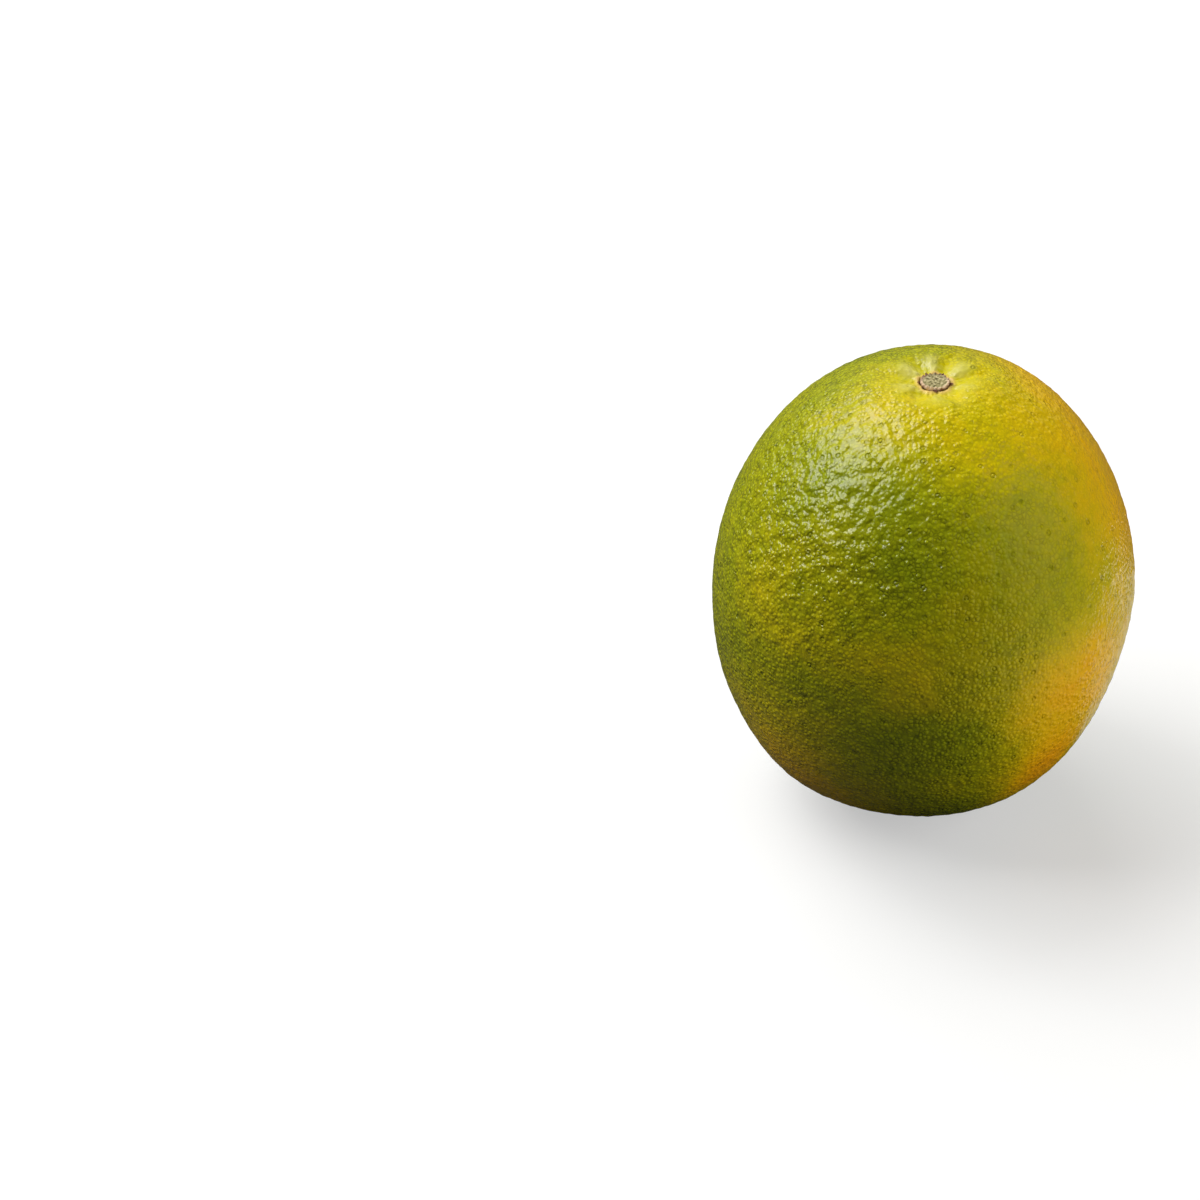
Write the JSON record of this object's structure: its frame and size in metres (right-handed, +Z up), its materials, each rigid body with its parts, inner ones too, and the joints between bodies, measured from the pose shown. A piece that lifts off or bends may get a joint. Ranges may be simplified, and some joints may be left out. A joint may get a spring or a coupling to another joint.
{
  "type": "whole orange",
  "caption": "Whole sweet orange, oval and ripening from green to yellow, with a dry calyx button in the dimple at its stem end, standing on its blossom end.",
  "frame": {"origin": "on the surface that the fruit stands on, under the middle of its bounding box", "axes": "+Z up along the core from the blossom end to the stem end; +X to the right when seen from -Y"},
  "size_m": [0.0736, 0.0736, 0.0834],
  "materials": {
    "peel": "waxy citrus rind with fine oil glands and scattered pits, green with yellow and orange patches, soft gloss",
    "calyx": "dry, matt, grey-tan woody disc with a pale scalloped rim and dark brown sepal tips"
  },
  "bodies": {
    "root": {"orange_fruit": "peel", "calyx_button": "calyx"}
  },
  "joints": []
}
